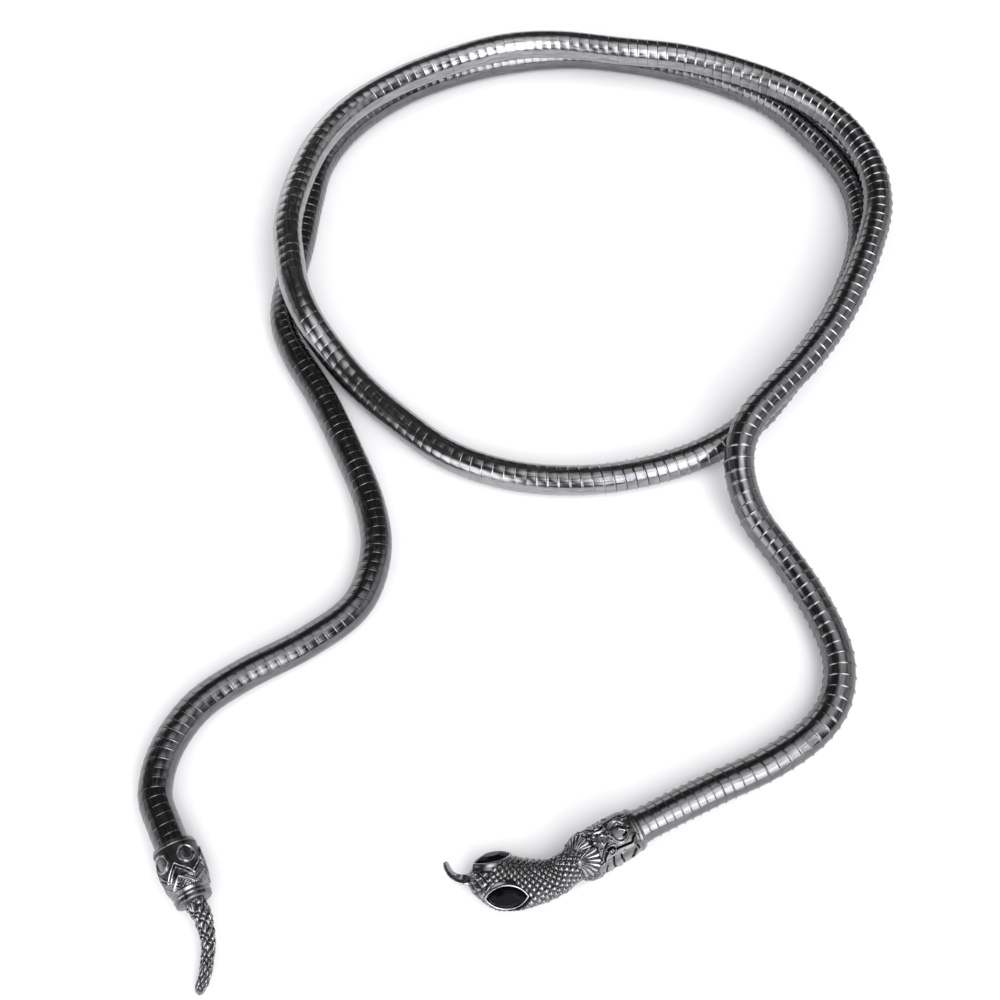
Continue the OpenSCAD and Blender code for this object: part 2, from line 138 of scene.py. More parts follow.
# X, Y, and the level: 0 on the table, 1 on the lower strand
ROUTE = [
    [4.1, -125, 0.16], [10.5, -121.5, 0.12], [20, -116.5, 0.01], [29.5, -112, 0],
    [37.5, -106.5, 0], [42, -100.5, 0], [43.5, -93.5, 0], [42.5, -87, 0],
    [39.5, -79, 0], [35.5, -71.5, 0.02], [31, -64.5, 0.2], [28.5, -57.5, 0.56],
    [28.5, -51, 0.9], [31.5, -44.5, 1.02], [37, -38, 1.02], [43.5, -30.5, 1],
    [50, -21, 1], [55, -11, 1], [59, -1, 1], [61.5, 8.5, 1],
    [61, 19, 1], [56.5, 30, 1], [47.5, 39.5, 1], [36, 46, 1],
    [23.5, 50.5, 1], [10, 52.5, 1], [-4, 54.5, 1], [-16, 53.5, 1],
    [-28, 49, 1], [-39, 43, 1], [-48.5, 35, 1], [-55, 25, 1],
    [-58.5, 14, 1], [-60, 3, 1], [-59, -6, 1], [-57.5, -13.5, 1],
    [-54.5, -20.5, 0.82], [-50, -26.5, 0.36], [-44, -33.5, 0.04], [-36, -41.5, 0],
    [-26, -49.5, 0], [-14, -54, 0], [-1, -55, 0], [11.5, -53, 0],
    [23, -48.5, 0], [32.5, -41.5, 0], [40, -32, 0], [47.5, -22, 0],
    [53.5, -11.5, 0], [58, 0, 0], [59.5, 11.5, 0], [57.5, 22.5, 0],
    [51, 33.5, 0], [42.5, 43.5, 0], [29, 51, 0], [14.5, 55.5, 0],
    [0, 57.5, 0], [-14, 56, 0], [-27, 52, 0], [-39, 45.5, 0],
    [-49, 36, 0], [-55, 25, 0], [-57, 13, 0], [-58, 3, 0],
    [-59.5, -7.5, 0], [-60, -17, 0], [-57, -26, 0], [-51, -37, 0],
    [-45.5, -49, 0], [-41, -60.5, 0], [-39.5, -71, 0], [-42.5, -81.5, 0],
    [-51, -89, 0], [-62, -95.5, 0], [-69.5, -101.5, 0], [-74, -109.5, 0],
    [-75, -117.5, 0.03], [-72.6, -123.6, 0.12], [-69.9, -128.8, 0.16],
]
HEAD_SPINE = [
    [6.2, -123.9, 4.05], [1.8, -126.3, 4.05], [-4.4, -130, 4], [-7.5, -131.9, 3.3],
    [-10.8, -132.7, 3], [-14.5, -132.9, 2.8], [-18, -132.4, 2.8], [-21.9, -132.1, 2.5],
    [-23.2, -132.1, 2.6], [-24.5, -131.7, 3.5], [-25.2, -131.1, 5], [-25.6, -130.6, 7],
]
TAIL_SPINE = [
    [-70.7, -127.1, 4.05], [-68.5, -131.7, 4.05], [-66.3, -136.3, 4], [-65.1, -138.1, 3.5],
    [-64.3, -140.3, 2.9], [-63.8, -142.4, 2.4], [-63.7, -144.7, 2], [-63.9, -147.1, 1.7],
    [-64.4, -149.2, 1.4], [-64.7, -150.7, 1.2],
]
chain_line = centre_line([[x, y, CHAIN_D / 2 + level * (CHAIN_D + STRAND_GAP)] for x, y, level in ROUTE])
head_line = centre_line(HEAD_SPINE)
tail_line = centre_line(TAIL_SPINE)
for name, line in (("tube", chain_line), ("head", head_line), ("tail", tail_line)):
    print(name, "centre line", round(line[0][-1], 1), "mm")

# %% [markdown]
# ## Table and light
# A small shiny piece of jewellery is lit by what it mirrors more than by its lamps. The dark
# metal tube shows a dark line along its top, where it mirrors the dim room behind it, and pale
# flanks where it mirrors the white table and soft windows in front. So the world is dim, with
# a few bright patches that have soft edges, as windows behind cloth have. The lamps light the
# table alone: mirrored in every turn of the tube they would be a row of hard dots.
# Behind the table the camera sees a plain white backdrop.

# %% Table
# Half its side, in metres
FLOOR_HALF = 1.5
bm = bmesh.new()
bmesh.ops.create_grid(bm, x_segments=1, y_segments=1, size=FLOOR_HALF)
floor_mesh = bpy.data.meshes.new("table_top")
bm.to_mesh(floor_mesh)
bm.free()
floor = bpy.data.objects.new("table_top", floor_mesh)
bpy.context.scene.collection.objects.link(floor)

# %% Adding and joining nodes
def add(tree, kind, **settings):
    """A node with its settings and the values of its sockets."""
    node = tree.nodes.new("ShaderNode" + kind)
    for key, value in settings.items():
        if hasattr(node, key):
            setattr(node, key, value)
        else:
            node.inputs[key.replace("_", " ")].default_value = value
    return node


def wire(tree, wires):
    """Joins sockets. Each wire is a node and its output, then a node and its input."""
    for source, output, target, socket in wires:
        tree.links.new(source.outputs[output], target.inputs[socket])


# %% World: soft patches of light
# Direction of each patch, its strength, and the angles at which it is full and has ended
PATCHES = {
    "high front window": ((0.25, -0.6, 0.76), 4, 6, 25),
    "low front window": ((0.39, -0.84, 0.38), 5.5, 8, 27),
    "left front window": ((-0.6, -0.73, 0.33), 3, 8, 30),
    "skylight": ((0.25, -0.06, 0.97), 1.5, 4, 34),
    "right wall": ((0.95, 0.1, 0.3), 0.75, 8, 34),
    "left back window": ((-0.45, 0.88, 0.1), 1.9, 6, 28),
    "left wall": ((-0.9, 0.1, 0.1), 0.4, 6, 30),
}
DIM_ROOM = 0.07
BACKDROP = 1.05
ROOM_COLOR = (0.98, 0.98, 1, 1)
world = bpy.data.worlds.new("soft_tent")
bpy.context.scene.world = world
world.use_nodes = True
room = world.node_tree
background = room.nodes["Background"]
background.inputs["Color"].default_value = ROOM_COLOR
where = add(room, "TexCoord")
so_far = None
for direction, strength, full, end in PATCHES.values():
    toward = add(room, "VectorMath", operation="DOT_PRODUCT")
    toward.inputs[1].default_value = Vector(direction).normalized()
    patch = add(
        room, "MapRange", interpolation_type="SMOOTHSTEP", From_Min=math.cos(math.radians(end)),
        From_Max=math.cos(math.radians(full)), To_Max=strength,
    )
    # The first patch is added to the dim room, and each other one to the sum so far
    total = add(room, "Math", operation="ADD")
    total.inputs[1].default_value = DIM_ROOM
    wire(room, [
        (where, "Generated", toward, 0), (toward, "Value", patch, "Value"), (patch, "Result", total, 0),
    ])
    if so_far:
        wire(room, [(so_far, 0, total, 1)])
    so_far = total
seen = add(room, "LightPath")
backdrop = add(room, "Mix", B=BACKDROP)
wire(room, [
    (seen, "Is Camera Ray", backdrop, "Factor"), (so_far, 0, backdrop, "A"),
    (backdrop, "Result", background, "Strength"),
])
print("patches of light:", ", ".join(PATCHES))

# %% Lamps for the table
# Metres and watts
LAMPS = {"table_left": (-0.7, -0.3, 0.8), "table_right": (0.75, -0.1, 0.8)}
LAMP_SIZE = 1.2
LAMP_POWER = 6
LAMP_AIM = Vector((0, -0.03, 0))
for name, at in LAMPS.items():
    data = bpy.data.lights.new(name, "AREA")
    data.size, data.energy = LAMP_SIZE, LAMP_POWER
    lamp = bpy.data.objects.new(name, data)
    lamp.location = at
    lamp.rotation_euler = (LAMP_AIM - Vector(at)).to_track_quat("-Z", "Y").to_euler()
    lamp.visible_glossy = False
    bpy.context.scene.collection.objects.link(lamp)
    print(name, LAMP_POWER, "W")

# %% [markdown]
# ## Finishes
# Three finishes are on the necklace: black nickel on the wound strip, the same plating on the
# castings with dark patina left in the recesses, and polished black stone.
# The recesses could be found by Blender's pointiness, but that depends on the mesh and is lost
# in an export. Here each mesh carries its own relief, in millimetres, as an attribute, and one
# node group turns it into a mask. Both metals use the group, each with its own limits.

# %% A node group for patina and a painted highlight
def node_group(name, inputs, outputs):
    """An empty shader group with named sockets."""
    group = bpy.data.node_groups.new(name, "ShaderNodeTree")
    for label, kind, value in inputs:
        socket = group.interface.new_socket(label, in_out="INPUT", socket_type=kind)
        socket.default_value = value
    for label, kind in outputs:
        group.interface.new_socket(label, in_out="OUTPUT", socket_type=kind)
    return group, group.nodes.new("NodeGroupInput"), group.nodes.new("NodeGroupOutput")


patina, given, made = node_group(
    "patina",
    [
        ("Relief", "NodeSocketFloat", 0), ("Lowest", "NodeSocketFloat", -0.1),
        ("Highest", "NodeSocketFloat", 0.1), ("Grain Size", "NodeSocketFloat", 3000),
        ("Dark", "NodeSocketColor", (0.01, 0.01, 0.01, 1)),
        ("Bright", "NodeSocketColor", (0.4, 0.4, 0.4, 1)),
        ("Polished", "NodeSocketColor", (0.6, 0.6, 0.6, 1)), ("Place", "NodeSocketVector", (0, 0, 0)),
    ],
    [("Color", "NodeSocketColor"), ("Roughness", "NodeSocketFloat"), ("Height", "NodeSocketFloat")],
)

# %% Nodes of the patina group
# How far the clouds move the patina's edge, in millimetres, and how the waves weigh against the grain
CLOUD_SHIFT = 0.08
WAVE_SHARE = 1.6
place = add(patina, "TexCoord")
grain = add(patina, "TexNoise", Detail=4.0, Roughness=0.6)
cloud = add(patina, "TexNoise", Scale=260.0, Detail=3.0)
waves = add(patina, "TexNoise", Scale=520.0, Detail=1.0)
# Colour: dark patina below the lowest relief, bright above the highest, and a painted highlight, a brighter
# colour, on the very tops
uneven = add(patina, "Math", operation="MULTIPLY_ADD")
uneven.inputs[1].default_value = CLOUD_SHIFT
level = add(patina, "MapRange", interpolation_type="SMOOTHSTEP")
tint = add(patina, "Mix", data_type="RGBA")
# The very tops are given a brighter colour as a painted highlight
highlight_tops = add(patina, "MapRange", interpolation_type="SMOOTHSTEP", From_Min=0.17, From_Max=0.3)
highlight_mix = add(patina, "Mix", data_type="RGBA")
# Streaks along the piece make the metal duller and rougher, and recesses are rougher still
stretch = add(patina, "Mapping", Scale=(0.35, 2.6, 2.6))
streak = add(patina, "TexNoise", Scale=1.0, Detail=3.0)
rough = add(patina, "MapRange", From_Min=0.3, From_Max=0.7, To_Min=0.1, To_Max=0.28)
recess = add(patina, "MapRange", To_Min=0.3, To_Max=0.0)
rougher = add(patina, "Math", operation="ADD")
dull = add(patina, "MapRange", From_Min=0.35, From_Max=0.65, To_Min=0.72, To_Max=1.16)
shade = add(patina, "VectorMath", operation="SCALE")
# Height: grain on the bright parts, and slow waves
bumps = add(patina, "Math", operation="MULTIPLY")
lift = add(patina, "Math", operation="MULTIPLY_ADD")
lift.inputs[1].default_value = WAVE_SHARE

# %% Wires of the patina group
wire(patina, [
    (place, "Object", grain, "Vector"), (given, "Grain Size", grain, "Scale"),
    (place, "Object", cloud, "Vector"), (place, "Object", waves, "Vector"),
    (cloud, "Fac", uneven, 0), (given, "Relief", uneven, 2),
    (uneven, 0, level, "Value"), (given, "Lowest", level, "From Min"), (given, "Highest", level, "From Max"),
    (level, "Result", tint, "Factor"), (given, "Dark", tint, "A"), (given, "Bright", tint, "B"),
    (given, "Relief", highlight_tops, "Value"), (highlight_tops, "Result", highlight_mix, "Factor"),
    (tint, "Result", highlight_mix, "A"), (given, "Polished", highlight_mix, "B"),
    (given, "Place", stretch, "Vector"), (stretch, "Vector", streak, "Vector"),
    (streak, "Fac", rough, "Value"), (streak, "Fac", dull, "Value"),
    (highlight_mix, "Result", shade, 0), (dull, "Result", shade, "Scale"),
    (level, "Result", recess, "Value"), (rough, "Result", rougher, 0), (recess, "Result", rougher, 1),
    (grain, "Fac", bumps, 0), (level, "Result", bumps, 1), (waves, "Fac", lift, 0), (bumps, 0, lift, 2),
    (shade, 0, made, "Color"), (rougher, 0, made, "Roughness"), (lift, 0, made, "Height"),
])
print("patina group:", len(patina.nodes), "nodes")

# %% Materials of the metals
# Depth of the dents at full strength, in metres
DENT_DEPTH = 0.00002


def metal(name, limits, dark, bright, highlight_color, grain_size, bump):
    """Plated metal: patina in its recesses, and a painted highlight, a brighter colour, on its highest tops.
    """
    material = bpy.data.materials.new(name)
    material.use_nodes = True
    tree = material.node_tree
    shader = tree.nodes["Principled BSDF"]
    shader.inputs["Metallic"].default_value = 1.0
    relief = add(tree, "Attribute", attribute_name="relief")
    unbent = add(tree, "Attribute", attribute_name="unbent")
    layer = add(
        tree, "Group", node_tree=patina, Lowest=limits[0], Highest=limits[1], Dark=(*dark, 1),
        Bright=(*bright, 1), Polished=(*highlight_color, 1), Grain_Size=grain_size,
    )
    dents = add(tree, "Bump", Strength=bump, Distance=DENT_DEPTH)
    wire(tree, [
        (relief, "Fac", layer, "Relief"), (unbent, "Vector", layer, "Place"),
        (layer, "Color", shader, "Base Color"), (layer, "Roughness", shader, "Roughness"),
        (layer, "Height", dents, "Height"), (dents, "Normal", shader, "Normal"),
    ])
    return material


# The last colour of each metal is a painted highlight for its highest tops
cast_metal = metal(
    "aged_casting", limits=(-0.14, 0.1), dark=(0.012, 0.012, 0.013), bright=(0.24, 0.24, 0.245),
    highlight_color=(0.52, 0.52, 0.53), grain_size=4200, bump=0.5,
)
wound_strip = metal(
    "plated_strip", limits=(-0.1, 0.03), dark=(0.02, 0.02, 0.02), bright=(0.16, 0.16, 0.165),
    highlight_color=(0.31, 0.31, 0.315), grain_size=2600, bump=0.6,
)

# %% Materials of the stones and the table
# How dark the clouds on a plain surface are, as a share of its colour
CLOUD_SHADE = 0.94


def plain(name, color, roughness, shine=0.5):
    """An even surface with faint clouds in its colour."""
    material = bpy.data.materials.new(name)
    material.use_nodes = True
    tree = material.node_tree
    shader = tree.nodes["Principled BSDF"]
    shader.inputs["Roughness"].default_value = roughness
    shader.inputs["Specular IOR Level"].default_value = shine
    place = add(tree, "TexCoord")
    cloud = add(tree, "TexNoise", Scale=40.0, Detail=3.0)
    shaded = [c * CLOUD_SHADE for c in color]
    tint = add(tree, "Mix", data_type="RGBA", A=(*color, 1), B=(*shaded, 1))
    wire(tree, [
        (place, "Object", cloud, "Vector"), (cloud, "Fac", tint, "Factor"),
        (tint, "Result", shader, "Base Color"),
    ])
    return material


FINISHES = {
    "wound_strip": wound_strip, "cast_metal": cast_metal,
    "eye_stone": plain("polished_stone", (0.002, 0.002, 0.003), 0.06, shine=0.07),
}
floor.data.materials.append(plain("table_white", (0.86, 0.86, 0.87), 0.6))
print("materials:", [m.name for m in bpy.data.materials if m.users])

# %% [markdown]
# ## Helpers for the pieces
# The meshes are shaped with numpy, because it moves a hundred thousand points at once. A
# finished piece is turned from millimetres into metres, shaded smooth with its sharp edges
# kept, and tied to the frame: it rides on the body and takes its slot's finish.

# %% Reading, writing and finishing a mesh
# Points closer than this are one, in millimetres
MERGE = 1e-4


def read(mesh):
    """The places of a mesh's points."""
    co = np.empty(len(mesh.vertices) * 3)
    mesh.vertices.foreach_get("co", co)
    return co.reshape(-1, 3)


def write(mesh, co):
    """Moves a mesh's points."""
    mesh.vertices.foreach_set("co", np.ravel(co))
    mesh.update()


def note(mesh, name, values):
    """Stores one number, or one place, for each point, for the material to read."""
    if np.ndim(values) == 1:
        mesh.attributes.new(name, "FLOAT", "POINT").data.foreach_set("value", values)
    else:
        mesh.attributes.new(name, "FLOAT_VECTOR", "POINT").data.foreach_set("vector", np.ravel(values))


def to_mesh(bm, name):
    """Ends a bmesh: no double points, and every face turned outwards."""
    bmesh.ops.remove_doubles(bm, verts=bm.verts, dist=MERGE)
    bmesh.ops.recalc_face_normals(bm, faces=bm.faces)
    mesh = bpy.data.meshes.new(name)
    bm.to_mesh(mesh)
    bm.free()
    return mesh


def finish_piece(name, mesh, slot, node, sharp=50):
    """Metres, never outside the CAD model's box, smooth shading and the ties to the frame."""
    if "unbent" not in mesh.attributes:
        note(mesh, "unbent", read(mesh))
    write(mesh, np.clip(read(mesh) * MM, *cad_box))
    mesh.shade_smooth()
    mesh.set_sharp_from_angle(angle=math.radians(sharp))
    mesh.materials.append(FINISHES[slot])
    piece = bpy.data.objects.new(name, mesh)
    bpy.context.scene.collection.objects.link(piece)
    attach(piece, "root")
    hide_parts(node)
    print(name, len(mesh.vertices), "points")
    return piece


# %% [markdown]
# ## The wound tube
# The real tube is one narrow strip of metal wound into a helix. Each turn's edge is rolled
# into a lip that hooks over the next turn, so the tube bends and stays bent.
# Rings stacked side by side would be simpler, but their lines would stand square to the tube.
# On the real one they slant a little, so one turn is spun with a step forward, and an Array
# modifier joins the turns into one strip.

# %% One turn of strip
# Steps round the tube, and the radius of the strip's flat band
TURN_STEPS = 28
BAND_R = 2.82
# Share of the turn's width, and height over the band
STRIP_PROFILE = [
    (0, -0.1), (0.045, -0.02), (0.085, 0), (0.83, 0.01), (0.88, 0.05),
    (0.915, 0.18), (0.955, 0.2), (0.985, 0.04), (1, -0.1),
]
bm = bmesh.new()
row = [bm.verts.new((x, BAND_R + h, 0)) for x, h in STRIP_PROFILE]
edges = [bm.edges.new(pair) for pair in zip(row, row[1:])]
bmesh.ops.spin(
    bm, geom=row + edges, cent=(0, 0, 0), axis=(1, 0, 0), dvec=(1 / TURN_STEPS, 0, 0),
    angle=math.tau, steps=TURN_STEPS, use_merge=False,
)
turn_mesh = to_mesh(bm, "one_turn")
print("one turn:", len(turn_mesh.polygons), "faces")

# %% Many turns
# Width of a turn near each end, in millimetres
PITCH_HEAD = 2.14
PITCH_TAIL = 1.83
TUBE_LENGTH = chain_line[0][-1]
TURNS = round(TUBE_LENGTH / (0.5 * (PITCH_HEAD + PITCH_TAIL)))
one_turn = bpy.data.objects.new("one_turn", turn_mesh)
bpy.context.scene.collection.objects.link(one_turn)
array = one_turn.modifiers.new("turns", "ARRAY")
array.count = TURNS
array.use_relative_offset = False
array.use_constant_offset = True
array.constant_offset_displace = (1, 0, 0)
array.use_merge_vertices = True
array.merge_threshold = 0.001
depsgraph = bpy.context.evaluated_depsgraph_get()
tube = bpy.data.meshes.new_from_object(one_turn.evaluated_get(depsgraph))
bpy.data.objects.remove(one_turn)
print(TURNS, "turns,", len(tube.polygons), "faces")

# %% [markdown]
# The turns of a real necklace are not all alike. Towards the head the lips stand high and the
# turns are wide; where the tube has been drawn through the hand it is worn nearly smooth. The
# height and the width of every turn come from a seeded row of random numbers, so each run
# gives the same tube.

# %% How uneven the turns are
# Places along the tube in millimetres, and how worn it is there
WORN_AT = [225, 245, 425, 445, 570, 600]
WORN = [0, 1, 1, 0, 0, 0.85]
# The same for a painted highlight: a brighter colour along the middle of the tube, standing in for its
# brighter highlights there
PAINTED_SHEEN_AT = [60, 200, 260, 420, 520]
PAINTED_SHEEN = [0, 0.2, 0.34, 0.34, 0]
# The end that the head is pressed on is a little thicker, up to the socket's mouth
SOCKET_END = [2.8, 4], [0.19, 0]
# Where the lips are worn off, the band lies a little higher
WORN_SWELL = 0.1
# Share of the tube over which the turns change their width, and the narrow turns next to the head
PITCH_CHANGE = [0.4, 0.6]
FIRST_TURNS = [8, 13], [0.74, 1]
# Least and most of each turn's width, lip and groove, as shares, and the spread of its tilt
WIDTHS, LIPS, GROOVES, TILT = (0.93, 1.07), (0.65, 1.1), (0.1, 1), 0.03
# What wear takes off the lips and the tilt, and the power and share of the grooves that it leaves
LIP_WEAR, TILT_WEAR = 0.96, 0.6
GROOVE_POWER, GROOVE_SHARE = 2.5, 0.3
# Heights from which a point is lip, band or groove
LIP_FROM, BAND_FROM, GROOVE_TO = 0.03, -0.03, -0.05

# %% Which turn each point is in, and where that turn lies
rng = np.random.default_rng(7)
co = read(tube)
step = np.round(np.arctan2(co[:, 2], co[:, 1]) / math.tau * TURN_STEPS) % TURN_STEPS
count = np.floor(co[:, 0] - step / TURN_STEPS + 1e-3)
share = co[:, 0] - step / TURN_STEPS - count
wound = count + step / TURN_STEPS
numbers = np.arange(-2, TURNS + 4)
widths = np.interp(numbers / TURNS, PITCH_CHANGE, [PITCH_HEAD, PITCH_TAIL])
widths *= rng.uniform(*WIDTHS, len(numbers))
widths *= np.interp(numbers, *FIRST_TURNS)
edges_at = np.concatenate([[0], np.cumsum(widths)])[:-1]
along = np.interp(co[:, 0], numbers, edges_at)
along = (along - along.min()) / (along.max() - along.min()) * TUBE_LENGTH
print("turns from", round(widths.min(), 2), "to", round(widths.max(), 2), "mm wide")


# %% Heights of the turns, and the bends
def each_turn(values):
    """A number for each turn, spread over the points."""
    return np.interp(wound, numbers, values)


worn = np.interp(along, WORN_AT, WORN)
lip = each_turn(rng.uniform(*LIPS, len(numbers))) * (1 - LIP_WEAR * worn)
groove = each_turn(rng.uniform(*GROOVES, len(numbers)))
groove = groove * (1 - worn) + groove**GROOVE_POWER * GROOVE_SHARE * worn
tilt = each_turn(rng.normal(0, TILT, len(numbers))) * (1 - TILT_WEAR * worn)
height = np.hypot(co[:, 1], co[:, 2]) - BAND_R
height = np.where(height > LIP_FROM, height * lip, np.where(height < GROOVE_TO, height * groove, height))
height += tilt * (share - 0.5)
angle = step / TURN_STEPS * math.tau
swell = WORN_SWELL * worn + np.interp(along, *SOCKET_END)
radius = np.minimum(BAND_R + swell + height, CHAIN_D / 2)
straight = np.stack([along, radius * np.cos(angle), radius * np.sin(angle)], axis=-1)
write(tube, bend(straight, chain_line, reach=1))
# The bands carry the painted highlight along the middle of the tube as extra relief
note(tube, "relief", height + np.where(height > BAND_FROM, np.interp(along, PAINTED_SHEEN_AT, PAINTED_SHEEN), 0))
note(tube, "unbent", straight)
print("lips reach", round(2 * radius.max(), 2), "mm across, turns", round(TUBE_LENGTH / TURNS, 2), "mm wide")

# %% Close the ends of the tube
bm = bmesh.new()
bm.from_mesh(tube)
ends = [e for e in bm.edges if e.is_boundary]
bmesh.ops.holes_fill(bm, edges=ends, sides=0)
bmesh.ops.recalc_face_normals(bm, faces=bm.faces)
bm.to_mesh(tube)
bm.free()
finish_piece("wound_tube", tube, "wound_strip", "chain_body", sharp=60)

# %% [markdown]
# ## Casting blanks
# The head and the tail are cast in one piece each. Their ornament could be laid on as
# separate wires, but cast metal has no seams: ridges run into the ground with a soft foot.
# So each casting starts as a plain turned blank with a fine grid of points, whose outside
# carries the whole relief. The profile is a line with a few corners, subdivided and spun
# round X. The head's casting is made of two blanks, because the collar's ornament needs a
# finer grid.

# %% A turned blank with a socket
SOCKET_R = 3.1
SOCKET_DEPTH = 2.65
# Wider than any casting, so that the outside is easy to tell from the socket
BLANK_R = 5


def blank(name, start, end, rings, steps):
    """A straight round blank. The one that starts at 0 has the socket for the tube."""
    bm = bmesh.new()
    socket = [(SOCKET_DEPTH, 0), (SOCKET_DEPTH, SOCKET_R), (0, SOCKET_R)]
    corners = (socket if start == 0 else [(start, 0)]) + [(start, BLANK_R), (end, BLANK_R), (end, 0)]
    row = [bm.verts.new((x, r, 0)) for x, r in corners]
    edges = [bm.edges.new(pair) for pair in zip(row, row[1:])]
    bmesh.ops.subdivide_edges(bm, edges=[edges[-2]], cuts=rings - 1)
    bmesh.ops.spin(
        bm, geom=list(bm.verts) + list(bm.edges), cent=(0, 0, 0), axis=(1, 0, 0),
        angle=math.tau, steps=steps, use_merge=True,
    )
    return to_mesh(bm, name)


HEAD_LENGTH = 30.4
COLLAR_END = 12.5
# How far the head's blank starts inside the collar, and how much thinner it is there
OVERLAP = 0.3
SINK = 0.35
collar = blank("collar", 0, COLLAR_END, rings=190, steps=440)
head = blank("snake_head", COLLAR_END - OVERLAP, HEAD_LENGTH, rings=210, steps=360)
print("collar and head blanks:", len(collar.vertices), "and", len(head.vertices), "points")

# %% [markdown]
# The blank is squeezed into the head's outline by a table of sections: place, half width,
# height above and below the centre line, and squareness. The collar is nearly square with
# round corners, the neck is round and thin, and the head is broad and low. The numbers repeat
# the part's source.

# %% Sections of the head
C_HALF, H_HALF, H_UP, H_DOWN = 3.8, 4.6, 2.6, 2.4
HEAD_SECTIONS = np.array([
    [0, C_HALF - 0.4, C_HALF - 0.4, C_HALF - 0.4, 2.2],
    [0.5, C_HALF - 0.15, C_HALF - 0.15, C_HALF - 0.15, 2.3],
    [1.2, C_HALF - 0.25, C_HALF - 0.25, C_HALF - 0.25, 2.5],
    [2.4, C_HALF, C_HALF, C_HALF, 2.8],
    [9.2, C_HALF, C_HALF, C_HALF, 2.9],
    [10.6, C_HALF - 0.1, C_HALF - 0.1, C_HALF - 0.1, 2.5],
    [11.6, C_HALF - 0.45, C_HALF - 0.45, C_HALF - 0.45, 2.2],
    [12.2, 3.05, 3.05, 3.05, 2],
    [12.5, 2.75, 2.75, 2.75, 2],
    [16, H_HALF * 0.66, 2.6, 2.6, 2],
    [19.4, H_HALF * 0.82, H_UP, H_DOWN, 2.1],
    [22.2, H_HALF * 0.95, H_UP, H_DOWN, 2.2],
    [24.4, H_HALF, H_UP, H_DOWN, 2.2],
    [26, H_HALF * 0.96, H_UP, H_DOWN * 0.95, 2.2],
    [27.8, H_HALF * 0.78, H_UP * 0.9, H_DOWN * 0.9, 2.1],
    [29.3, H_HALF * 0.54, H_UP * 0.7, H_DOWN * 0.7, 2],
    [30, H_HALF * 0.36, H_UP * 0.45, H_DOWN * 0.45, 2],
    [30.4, 1.1, 0.6, 0.6, 2],
])


def head_outline(s, angle):
    """Distance from the centre line to the rounded outline, in the direction of an angle."""
    half, up, down, square = [np.interp(s, HEAD_SECTIONS[:, 0], HEAD_SECTIONS[:, k]) for k in range(1, 5)]
    c = np.abs(np.cos(np.radians(angle))) / half
    q = np.abs(np.sin(np.radians(angle))) / np.where(angle > 0, up, down)
    return (c**square + q**square) ** (-1 / square)


# %% [markdown]
# ## Ornament as strokes
# The ornament is drawn the way a wax carver does it: strokes on the unrolled surface. A
# stroke is a smooth path with a width and a height. Positive strokes stand up as round
# wires, negative ones are cut in. Every stroke is given by place along the casting in
# millimetres and by degrees from the middle of its motif.

# %% Strokes
# A degree of angle on the collar's surface, in millimetres
DEGREE = math.radians(C_HALF)


def off_from(angle, middle):
    """Degrees from a middle, between -180 and 180."""
    return (angle - middle + 180) % 360 - 180


def band(x, at, half):
    """1 at a place, falling to 0 at half a width from it."""
    return np.clip(1 - ((x - at) / half) ** 2, 0, 1)


def stroke(s, w, path, half, steps=5):
    """1 on a path over the surface, falling to 0 at half its width."""
    p = smooth(path, steps) * [1, DEGREE]
    nearest = np.full(len(s), np.inf)
    for a, b in zip(p, p[1:]):
        ab = b - a
        t = np.clip(((s - a[0]) * ab[0] + (w - a[1]) * ab[1]) / (ab @ ab), 0, 1)
        nearest = np.minimum(nearest, np.hypot(s - a[0] - t * ab[0], w - a[1] - t * ab[1]))
    return 1 - np.clip(nearest / half, 0, 1) ** 2


def ball(s, w, at, radius):
    """1 in the middle of a round boss, falling to 0 at its edge."""
    away = np.hypot(s - at[0], w - at[1] * DEGREE) / radius
    return np.sqrt(1 - np.clip(away, 0, 1) ** 2)


def oval(at, half, count=24):
    """A closed path round a middle."""
    turn = np.linspace(0, math.tau, count + 1)
    return np.stack([at[0] + half[0] * np.cos(turn), at[1] + half[1] * np.sin(turn)], axis=-1)


def carve(s, w, design):
    """The relief of a design: its highest ridge less its deepest groove."""
    up, down = np.zeros(len(s)), np.zeros(len(s))
    for path, half, height in design:
        mark = ball(s, w, path, half) if np.ndim(path) == 1 else stroke(s, w, path, half)
        if height > 0:
            up = np.maximum(up, mark * height)
        else:
            down = np.minimum(down, mark * height)
    return up + down


def mirrored(design):
    """A design and its mirror image across the motif's middle."""
    return design + [(np.array(path) * [1, -1], half, height) for path, half, height in design]


# %% [markdown]
# ## The collar
# The collar has four faces. The top and bottom ones carry a medallion with a comma in it,
# hooked lines along the corners, and volutes and leaves next to the fan. The side faces
# carry a comma slot and three curved grooves. Both designs were drawn over the photograph.

